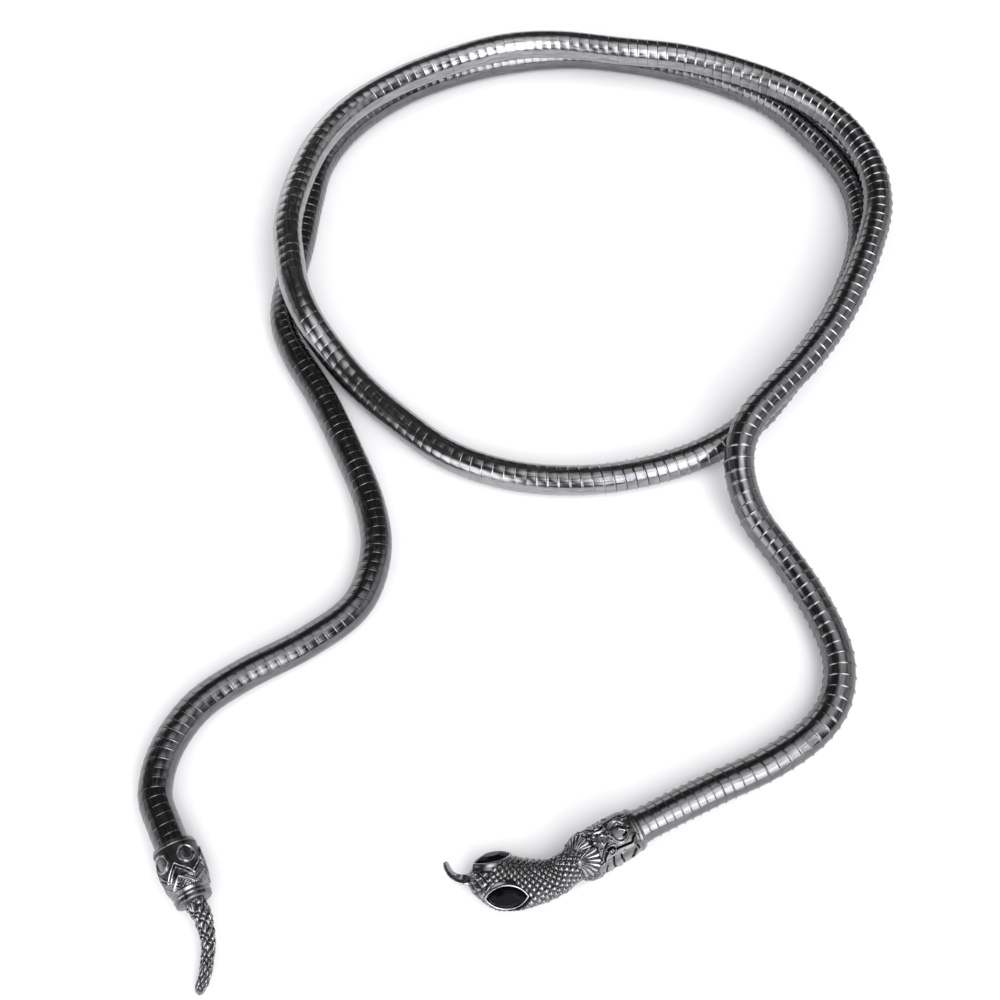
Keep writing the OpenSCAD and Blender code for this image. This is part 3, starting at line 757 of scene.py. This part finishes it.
# %% Design of the top and the bottom
# Each stroke: path, half width, height. Each ball: place, radius, height
MEDALLION_AT, MEDALLION_HALF = (3.85, 0), (1.5, 27)
MEDALLION = [
    (oval(MEDALLION_AT, MEDALLION_HALF), 0.2, 0.24),
    (oval(MEDALLION_AT, (1.2, 21)), 0.14, -0.08),
    ([(2.7, -7), (3.1, -3), (3.5, 2.5)], 0.28, 0.34),
    ([(3.9, 13), (3.3, 11), (2.95, 7), (2.8, 2)], 0.18, -0.26),
    ([(2.6, -10), (3, -13), (3.4, -15)], 0.2, -0.26),
    ((3.5, 18), 0.32, 0.26), ((2.05, 1), 0.26, 0.24), ((7.3, -5), 0.36, 0.3),
    ([(2.45, 10), (2.35, 3), (2.2, -3), (1.9, -4)], 0.12, -0.2),
]
SCROLLS = mirrored([
    ([(1.3, 40), (1.4, 27), (1.8, 22), (2.4, 22.5)], 0.17, 0.2),
    ([(5, -10), (5.25, -4), (5.6, -1.5), (5.85, -5), (5.75, -11), (5.5, -12.5)], 0.17, 0.22),
    ([(5.55, 23), (5.65, 31), (6, 38), (6.5, 41.5), (7, 39), (7.1, 33.5), (6.85, 31)], 0.18, 0.25),
    ([(5.6, 23), (6.3, 21.5), (7.2, 23.5), (7.9, 29), (8.3, 36), (8.5, 41)], 0.18, 0.22),
    ([(5.95, 0), (6.3, 9), (6.9, 11.5), (7.5, 7), (7.7, 0)], 0.16, 0.2),
    ([(1.7, 27), (2.25, 31), (2.55, 37), (3.5, 36.5), (4.5, 35), (5.45, 34)], 0.2, -0.32),
    ([(5.85, 31), (6.1, 27), (6.5, 26), (7, 27)], 0.18, -0.34),
    ([(7.3, 32), (7.9, 39), (8.2, 47)], 0.18, -0.3),
    ([(6.4, 12), (7.3, 20)], 0.14, -0.2),
])
LEAVES = mirrored([
    ([(8.1, 2), (8.6, 6), (9, 12), (9.1, 18)], 0.2, 0.24), ([(8.6, 17), (8.9, 22), (9.4, 25)], 0.2, 0.26),
    ([(8.9, 36), (9.3, 41), (9.5, 47)], 0.22, 0.26), ([(8.3, 8), (8.5, 14), (8.5, 19)], 0.12, -0.2),
    ([(8.7, 29), (9.2, 33)], 0.14, -0.22), ([(8.5, 47), (9.2, 52)], 0.14, -0.22),
])
SCROLL_BALLS = mirrored([((6.6, 32), 0.28, 0.26), ((7.85, 19), 0.26, 0.24)])
TOP_FACE = MEDALLION + SCROLLS + SCROLL_BALLS + LEAVES
print("strokes and balls of the top face:", len(TOP_FACE))

# %% Design of the sides
SIDE_FACE = [
    ([(1.95, 40), (1.75, 32), (1.6, 22)], 0.17, -0.28),
    ([(2.4, 28), (2.6, 16), (2.8, 4), (2.85, -8)], 0.42, -0.34),
    ([(5.2, 37), (5.2, 28), (4.95, 15), (4.7, 0), (4.6, -14), (4.9, -30)], 0.19, -0.32),
    ([(6.55, 42), (6.8, 30), (6.7, 12), (6.4, -5), (6.2, -20), (6.4, -36)], 0.19, -0.32),
    ([(8, 28), (8.25, 10), (8.1, -5), (7.9, -20), (8.1, -36)], 0.18, -0.3),
    ([(4.4, 43), (4.7, 42), (4.95, 36)], 0.18, 0.2),
    ([(5.6, 36), (5.5, 20), (5.2, 0), (5.1, -16), (5.4, -30)], 0.2, 0.14),
    ([(7.3, 36), (7.35, 16), (7.1, -4), (6.9, -20), (7.1, -34)], 0.2, 0.14),
]

# %% Relief of the collar
# Angle of each face's middle, the way in which its design runs, and the design
COLLAR_FACES = [(90, 1, TOP_FACE), (-90, 1, TOP_FACE), (0, 1, SIDE_FACE), (180, -1, SIDE_FACE)]
FACE_HALF = 62
DOME_HEIGHT = 0.1


def collar_relief(s, angle):
    """Two designs on alternate faces, the medallion's dome and the rim's line."""
    relief = np.zeros(len(s))
    for middle, side, design in COLLAR_FACES:
        off = off_from(angle, middle)
        near = np.abs(off) < FACE_HALF
        part = carve(s[near], side * off[near] * DEGREE, design)
        keep = np.abs(part) > np.abs(relief[near])
        relief[near] = np.where(keep, part, relief[near])
    along, across = (s - MEDALLION_AT[0]) / MEDALLION_HALF[0], (angle - 90) / MEDALLION_HALF[1]
    dome = DOME_HEIGHT * np.clip(1 - along**2 - across**2, 0, 1)
    return relief + dome - 0.05 * band(s, 0.95, 0.12)


# %% [markdown]
# ## Diamonds
# Scales, and the small pebbles of the ground, are raised diamonds in a slanting lattice. Two
# slanting coordinates count the rows: inside each diamond the relief is a pillow. The sine of
# its row numbers, with a seed, gives each diamond a height and a slope that look like chance.

# %% Diamonds in a slanting lattice
# A pillow's squareness, the height that all share, the part left to chance, and its lean
PILLOW, SHARED, CHANCE, LEAN = 2.8, 0.56, 0.44, 1.7


def diamonds(s, angle, length, turn, seed):
    """0 in the joints and about 1 on top of each scale."""
    a, b = s / length + angle / turn, s / length - angle / turn
    cell_a, cell_b = np.round(a), np.round(b)
    u, v = np.abs(a - cell_a) * 2, np.abs(b - cell_b) * 2
    around = round(720 / turn)
    number = (cell_a + cell_b) * 12.9898 + ((cell_a - cell_b) % around) * 78.233 + seed
    mix = np.sin(number % math.tau) * 43758.5453
    luck = mix - np.floor(mix)
    slope = 0.35 * (luck - 0.5) * (a - cell_a) + 0.3 * (0.4 - luck) * (b - cell_b) + 0.18 * (a - cell_a)
    return (1 - u**PILLOW) * (1 - v**PILLOW) * (SHARED + CHANCE * luck + LEAN * slope)


# %% [markdown]
# ## The fan
# Where the collar meets the neck, overlapping scallop shells form a ruff. Each shell has
# its hinge towards the head and spreads its ribs back over the collar. Polar coordinates
# round the hinge make one: the ribs are waves in the angle, the border is a radius.

# %% Shells of the fan
# Place and angle of each hinge, reach, turn between its ribs, and how far the shell spreads
SHELLS = [
    (12.1, 101, 3.4, 14, -18, 80), (12.15, 76, 4, 14.5, -90, 26), (12.1, -14, 3.6, 16, -80, 32),
    (12.1, -76, 3.6, 16, -80, 48), (12.1, -150, 3.6, 16, -64, 64), (12.1, 165, 3.4, 15, -60, 45),
]
SHELL_SINK = 0.1
HINGE_R, HINGE_HEIGHT = 0.62, 0.34
# Lowest part of a shell, the height of its ribs at the hinge, and what they gain towards the border
SHELL_LOW, RIB_HEIGHT, RIB_GAIN = 0.04, 0.2, 0.12


def ease(x):
    """0 up to 0, 1 from 1 on, and a smooth step between them."""
    x = np.clip(x, 0, 1)
    return x * x * (3 - 2 * x)


def shell(s, off, hinge, reach, rib_turn, low, high):
    """One ribbed scallop shell, as relief: 0 outside it."""
    back, across = hinge - s, off * DEGREE
    away = np.hypot(back, across)
    turn = np.degrees(np.arctan2(across, back))
    rib = (1 - (((turn - low) / rib_turn) % 1 * 2 - 1) ** 2) ** 0.75
    # Next to the hinge the ribs run together
    rib += (0.7 - rib) * (1 - ease((away - 0.5) / 0.8))
    x = away / (reach * (0.88 + 0.12 * rib))
    ends = ease((x - 0.03) / 0.16) * ease((1 - x) / 0.12)
    sides = ease((turn - low) / 5) * ease((high - turn) / 5)
    return ends * sides * (SHELL_LOW + (RIB_HEIGHT + RIB_GAIN * x) * rib)


# %% The fan on its ground
# Where the collar's design ends, and the pebbles behind it: size, height and how deep they lie
DESIGN_END = 9.6
PEBBLE_LENGTH, PEBBLE_TURN, PEBBLE_HEIGHT, PEBBLE_DEPTH = 0.9, 16.36, 0.24, 0.16


def fan_relief(s, angle):
    """Shells that lie on each other, the first one on top, over the end of the collar."""
    ground = PEBBLE_HEIGHT * diamonds(s, angle, PEBBLE_LENGTH, PEBBLE_TURN, 4) - PEBBLE_DEPTH
    relief = np.where(s < DESIGN_END, collar_relief(s, angle), ground)
    free = np.ones(len(s), bool)
    for hinge, middle, *form in SHELLS:
        off = off_from(angle, middle)
        part = shell(s, off, hinge, *form)
        boss = HINGE_HEIGHT * ball(s, off * DEGREE, (hinge, 0), HINGE_R)
        covered = free & (part > 0)
        relief[covered] = np.maximum(part, boss)[covered] - SHELL_SINK
        free &= ~covered
    return relief


# %% [markdown]
# ## Scales
# The scales are the same diamonds, worn round on top, with dark joints between them. They
# grow into larger plates on the snout.

# %% Scales of the head
SCALE_LENGTH, SCALE_TURN = 1.2, 360 / 14
PLATE_LENGTH, PLATE_TURN = 1.8, 40
SCALE_HEIGHT, SCALE_DEPTH = 0.36, 0.13
SNOUT_FROM = 26.4


def scale_relief(s, angle):
    """Small scales, and larger plates on the snout."""
    small = diamonds(s - COLLAR_END, angle, SCALE_LENGTH, SCALE_TURN, 1)
    large = diamonds(s - COLLAR_END, angle, PLATE_LENGTH, PLATE_TURN, 5)
    plates = ease((s - SNOUT_FROM) / 0.8)
    return SCALE_HEIGHT * (small * (1 - plates) + large * plates) - SCALE_DEPTH


# %% [markdown]
# ## Seats for the eyes
# Each eye leans outwards on a cheek of the head. One matrix carries a flat eye from the
# origin to its seat, and its inverse carries the scales there, where they are pushed down.

# %% Places of the eyes
# Thickness of a bezel's wall, and the level of the seat below the eye's girdle
WALL = 0.55
SEAT_LEVEL = -0.35
# How far round the eye its seat reaches, and how steeply it rises there
SEAT_REACH, SEAT_RISE = 0.4, 6
EYE_LENGTH, EYE_WIDTH, EYE_TILT = 6.5, 3.7, 42
# Side, place, heading, more tilt and turn of each eye
EYE_SEATS = {
    "left": (1, (-15.5, -135.6, 4.2), 183, 2, 0),
    "right": (-1, (-17.9, -129, 3.5), 188, -6, -28),
}


def at_eye(side, at, heading, extra, turn):
    """From a flat eye at the origin to its seat on the head."""
    return (
        Matrix.Translation(at) @ Matrix.Rotation(math.radians(heading), 4, "Z")
        @ Matrix.Rotation(math.radians(side * (EYE_TILT + extra - 90)), 4, "X")
        @ Matrix.Rotation(math.radians(side * turn), 4, "Z")
    )


def in_seat(co, seat):
    """Points as seen from a flat eye at the origin."""
    return (co - seat[:3, 3]) @ seat[:3, :3]


def arc_radius(length, width):
    """Radius of the two equal arcs of a marquise."""
    return (length**2 + width**2) / (4 * width)


def press_seat(co, side, at, heading, extra, turn):
    """Pushes the scales down under an eye, so that its bezel stands free all round."""
    seat = np.array(at_eye(side, at, heading, extra, turn))
    flat = in_seat(co, seat)
    width = EYE_WIDTH + 2 * WALL
    r = arc_radius(EYE_LENGTH + 2 * WALL, width)
    past = np.hypot(flat[:, 0], np.abs(flat[:, 1]) + r - width / 2) - r
    top = SEAT_LEVEL + SEAT_RISE * np.clip(past, 0, None)
    under = (past < SEAT_REACH) & (flat[:, 2] > top)
    flat[under, 2] = top[under]
    return flat @ seat[:3, :3].T + seat[:3, 3]


# %% [markdown]
# ## Relief on the blanks
# Now each zone's relief is laid on the two blanks, and both are bent onto the head's centre
# line. The bend comes last, so that every pattern could be drawn on a straight piece. The
# eyes' seats are pressed into the bent head, because the eyes have their places there.

# %% The relief of a blank
# What the end faces and the socket count as, for the patina
DEEP = -0.3


def carved(mesh, zones, outline):
    """Gives a blank its outline, and each zone its relief. Returns its points, still straight."""
    co = read(mesh)
    s, angle = co[:, 0], np.degrees(np.arctan2(co[:, 2], co[:, 1]))
    outside = np.hypot(co[:, 1], co[:, 2]) > BLANK_R - 0.1
    relief = np.zeros(len(s))
    for start, end, make in zones:
        zone = outside & (s >= start) & (s < end)
        relief[zone] = make(s[zone], angle[zone])
    radius = outline(s, angle) + relief
    co[outside, 1] = (radius * np.cos(np.radians(angle)))[outside]
    co[outside, 2] = (radius * np.sin(np.radians(angle)))[outside]
    note(mesh, "unbent", co)
    note(mesh, "relief", np.where(outside, relief, DEEP))
    print(mesh.name, "relief from", round(relief.min(), 2), "to", round(relief.max(), 2), "mm")
    return co


# %% Relief and bend of the collar and the head
ZONES = ((0, 8.5, collar_relief), (8.5, 12.45, fan_relief), (12.45, 30, scale_relief))


def neck_outline(s, angle):
    """The head's outline, sunk where the collar lies over it."""
    return head_outline(s, angle) - SINK * ease((COLLAR_END - s) / OVERLAP)


write(collar, bend(carved(collar, ZONES, head_outline), head_line))
finish_piece("collar", collar, "cast_metal", "head_casting")
co = bend(carved(head, ZONES, neck_outline), head_line)
for seat in EYE_SEATS.values():
    co = press_seat(co, *seat)
write(head, co)
finish_piece("snake_head", head, "cast_metal", "head_casting")

# %% [markdown]
# ## The tongue
# The tongue curls up from the snout. Its upper side is hollow like a spoon, with rims
# brightened by a painted highlight, and a round tip. A round tube is spun first, then its upper side is
# pushed in.

# %% Tongue
TONGUE_LENGTH = head_line[0][-1] - HEAD_LENGTH
TONGUE_ROOT = 1.2
# Half width, half thickness and hollow of the tongue's thin part
TONGUE_HALF, TONGUE_THICK, TONGUE_HOLLOW = 0.56, 0.45, 0.55
# Angle of the rims from each side, and their width, in degrees
RIM_AT, RIM_WIDTH = 25, 22
TONGUE_STEPS = 48
bm = bmesh.new()
row = [bm.verts.new(at) for at in ((0, 0, 0), (0, 1, 0), (1, 1, 0), (1, 0, 0))]
edges = [bm.edges.new(pair) for pair in zip(row, row[1:])]
bmesh.ops.subdivide_edges(bm, edges=[edges[1]], cuts=TONGUE_STEPS - 1)
bmesh.ops.spin(
    bm, geom=list(bm.verts) + list(bm.edges), cent=(0, 0, 0), axis=(1, 0, 0),
    angle=math.tau, steps=TONGUE_STEPS, use_merge=True,
)
tongue = to_mesh(bm, "tongue")
co = read(tongue)
share = co[:, 0]
reach = np.hypot(co[:, 1], co[:, 2])
turn = np.arctan2(co[:, 2], co[:, 1])
upper = np.clip(np.sin(turn), 0, 1)
tip = np.sqrt(np.clip(1.02 - share**20, 0, None))
half = tip * (TONGUE_HALF + 0.3 * (1 - share) ** 2 + 0.6 * (1 - share) ** 5) * reach
thick = tip * (TONGUE_THICK + 0.35 * (1 - share) ** 3) * reach
hollow = TONGUE_HOLLOW * tip * reach * ease((share - 0.12) / 0.2)
co[:, 0] = HEAD_LENGTH - TONGUE_ROOT + (TONGUE_LENGTH + TONGUE_ROOT - 0.2) * share
co[:, 1] = half * np.cos(turn)
co[:, 2] = thick * np.sin(turn) - hollow * upper**2
write(tongue, bend(co, head_line))
rims = sum(np.exp(-((np.degrees(turn) - at) / RIM_WIDTH) ** 2) for at in (RIM_AT, 180 - RIM_AT))
# The rims get the painted highlight of the tops, and the middle of the hollow is a little darker
note(tongue, "relief", 0.1 + 0.2 * rims - 0.1 * upper**6)
finish_piece("tongue", tongue, "cast_metal", "head_casting")

# %% [markdown]
# ## Bezels and stones
# Each eye is a marquise, a pointed oval, held by a thin wall of metal. The stone could be
# pressed out of a sphere, but a marquise is two equal arcs, so rings of points are moved
# onto the two arcs and bridged. The stone has a flat table, and facets down to its girdle.

# %% Rings with the outline of a marquise
def marquise_ring(bm, length, width, z, count):
    """A closed ring of points on two equal arcs that meet in points."""
    ring = bmesh.ops.create_circle(bm, cap_ends=False, radius=1, segments=count)["verts"]
    r = arc_radius(length, width)
    for v in ring:
        x = v.co.x * length / 2
        v.co = (x, math.copysign(math.sqrt(r * r - x * x) - r + width / 2, v.co.y), z)
    return list({e for v in ring for e in v.link_edges})


def loft(bm, rings):
    """Bridges each ring to the next, and closes both ends."""
    for a, b in zip(rings, rings[1:]):
        bmesh.ops.bridge_loops(bm, edges=a + b)
    bmesh.ops.holes_fill(bm, edges=[e for e in bm.edges if e.is_boundary], sides=0)


# %% Bezels
# Room between the stone and its wall, both sides together, and steps round the wall
EYE_PLAY = 0.1
WALL_STEPS = 96
# From this height the rim takes part of the painted highlight of the tops. The rest is as bright as the
# scales
RIM_FROM, RIM_RELIEF, SKIRT_RELIEF = 0.1, 0.23, 0.06
# Share of the wall from inside to outside, and height
WALL_PROFILE = [
    (0.02, -0.35), (0.04, 0.05), (0.2, 0.2), (0.5, 0.24), (0.75, 0.16),
    (0.9, -0.05), (1, -0.3), (1.15, -0.6), (1.5, -0.9),
]
for side, seat in EYE_SEATS.items():
    bm = bmesh.new()
    rings = [(EYE_PLAY + 2 * out * WALL, z) for out, z in WALL_PROFILE]
    loft(bm, [marquise_ring(bm, EYE_LENGTH + more, EYE_WIDTH + more, z, WALL_STEPS) for more, z in rings])
    bmesh.ops.transform(bm, matrix=at_eye(*seat), verts=bm.verts)
    bezel = to_mesh(bm, "bezel_" + side)
    level = in_seat(read(bezel), np.array(at_eye(*seat)))[:, 2]
    # The rim's relief gives it part of the painted highlight, a brighter colour
    note(bezel, "relief", np.where(level > RIM_FROM, RIM_RELIEF, SKIRT_RELIEF))
    finish_piece("bezel_" + side, bezel, "cast_metal", "head_casting")

# %% Stones
STONE_STEPS = 32
# Height of each ring, and its size as a share of the stone's
STONE_LEVELS = [(-0.25, 0.9), (-0.02, 0.985), (0.02, 1), (0.3, 0.95), (0.55, 0.86), (0.88, 0.58), (0.9, 0.55)]
for side, seat in EYE_SEATS.items():
    bm = bmesh.new()
    loft(bm, [
        marquise_ring(bm, EYE_LENGTH * size, EYE_WIDTH * size, z, STONE_STEPS) for z, size in STONE_LEVELS
    ])
    bmesh.ops.transform(bm, matrix=at_eye(*seat), verts=bm.verts)
    stone = to_mesh(bm, "eye_stone_" + side)
    finish_piece("stone_" + side, stone, "eye_stone", "eye_stone_" + side, sharp=12)

# %% [markdown]
# ## The tail
# The tail starts with a cap that takes the end of the tube. Round it stand ringed discs, and
# between them double chevrons point back at the tube over a dark ground. A flange closes
# the cap, and a thin scaly spike ends the necklace.

# %% Sections of the tail
TAIL_LENGTH = tail_line[0][-1] - 0.1
# Place and radius
TAIL_RADII = np.array([
    [0, 3.55], [0.5, 3.7], [2.5, 3.8], [5, 3.75], [7, 3.5], [8.6, 3.2], [9, 2.85], [9.1, 3.15],
    [10.05, 3.15], [10.2, 3], [10.3, 1.65], [11.8, 1.6], [13.3, 1.4], [15.8, 1.15], [18.3, 1.03],
    [21.3, 0.95], [24, 0.82], [25.1, 0.6], [TAIL_LENGTH, 0.2],
])


def tail_outline(s, angle):
    """The tail is round, so the angle makes no difference."""
    return np.interp(s, TAIL_RADII[:, 0], TAIL_RADII[:, 1])


# %% Relief of the tail's cap
# Discs round the cap, and the angle of the first one
MOTIFS = 5
MOTIF_TURN = 64
GROUND_DEPTH = 0.1
# Place and radius of a disc, and half the width and the height of the ring round it
DISC_AT, DISC_R = 3.1, 1.42
RING_HALF, RING_HEIGHT = 0.16, 0.28
CHEVRON_HALF = 46
# The pebbles start where the motifs end
PEBBLES_FROM = 6.4
CHEVRONS = mirrored([
    ([(4.05, 0), (4.9, 12), (5.8, 27), (6.6, 40)], 0.17, 0.28),
    ([(4.75, 0), (5.5, 11), (6.3, 24), (6.9, 33)], 0.13, 0.2),
    ([(6.3, 0), (6.9, 11), (7.5, 23), (8, 33)], 0.17, 0.26),
])


def disc_relief(s, angle, away):
    """A grained disc with a groove and a ring round it, by the distance from its middle."""
    grain = 0.02 + 0.07 * diamonds(s, angle, 0.36, 7.2, 9)
    disc = grain * ease((DISC_R - away) / 0.15) - 0.1 * band(away, DISC_R - 0.28, 0.12)
    return np.maximum(disc, RING_HEIGHT * np.sqrt(band(away, DISC_R, RING_HALF)) - 0.02)


def cap_relief(s, angle):
    """Discs and chevrons over a sunk ground, with a plain rim and pebbles next to the flange."""
    ground = -GROUND_DEPTH * ease((s - 0.8) / 0.15) * ease((6.6 - s) / 0.6)
    relief = ground.copy()
    for k in range(MOTIFS):
        off = off_from(angle, MOTIF_TURN + 360 / MOTIFS * k)
        away = np.hypot(s - DISC_AT, off * DEGREE)
        disc = np.maximum(ground, disc_relief(s, angle, away))
        relief = np.where(away < DISC_R + 0.2, disc, relief)
        # The chevrons stand half way between two discs
        off = off_from(off, 180 / MOTIFS)
        near = np.abs(off) < CHEVRON_HALF
        marks = carve(s[near], off[near] * DEGREE, CHEVRONS)
        relief[near] = np.where(marks > 0.02, np.maximum(relief[near], marks), relief[near])
    pebbles = 0.1 * diamonds(s, angle, 0.55, 12, 3) * ease((s - PEBBLES_FROM) / 0.3) * ease((8.3 - s) / 0.2)
    relief = np.where(s > PEBBLES_FROM, np.maximum(relief, pebbles - 0.02), relief)
    return relief - 0.12 * band(s, 0.85, 0.1) + 0.08 * band(s, 8.45, 0.14)


# %% Relief of the flange and the spike
def flange_relief(s, angle):
    """A fine bead on the flange's edge."""
    return 0.1 * band(s, 9.3, 0.15) - 0.04 * ease((s - 9.4) / 0.2)


def spike_relief(s, angle):
    """Scales in uneven rows, lower towards the tip."""
    fade = np.interp(s, [10.6, 13, TAIL_LENGTH], [1, 0.9, 0.7])
    wave = 0.16 * np.sin(np.radians(2 * angle) + 1.7 * s) + 0.1 * np.sin(np.radians(3 * angle) - 2.9 * s)
    return fade * (0.46 * diamonds(s - 10.8 + wave, angle + 40 * wave, 1.6, 60, 2) - 0.15)


# %% Relief and bend of the tail
TAIL_ZONES = (
    (0, 8.94, cap_relief), (9.09, 10.34, flange_relief), (10.49, TAIL_LENGTH - 0.21, spike_relief),
)
tail = blank("snake_tail", 0, TAIL_LENGTH, rings=320, steps=300)
write(tail, bend(carved(tail, TAIL_ZONES, tail_outline), tail_line))
finish_piece("snake_tail", tail, "cast_metal", "tail_casting")
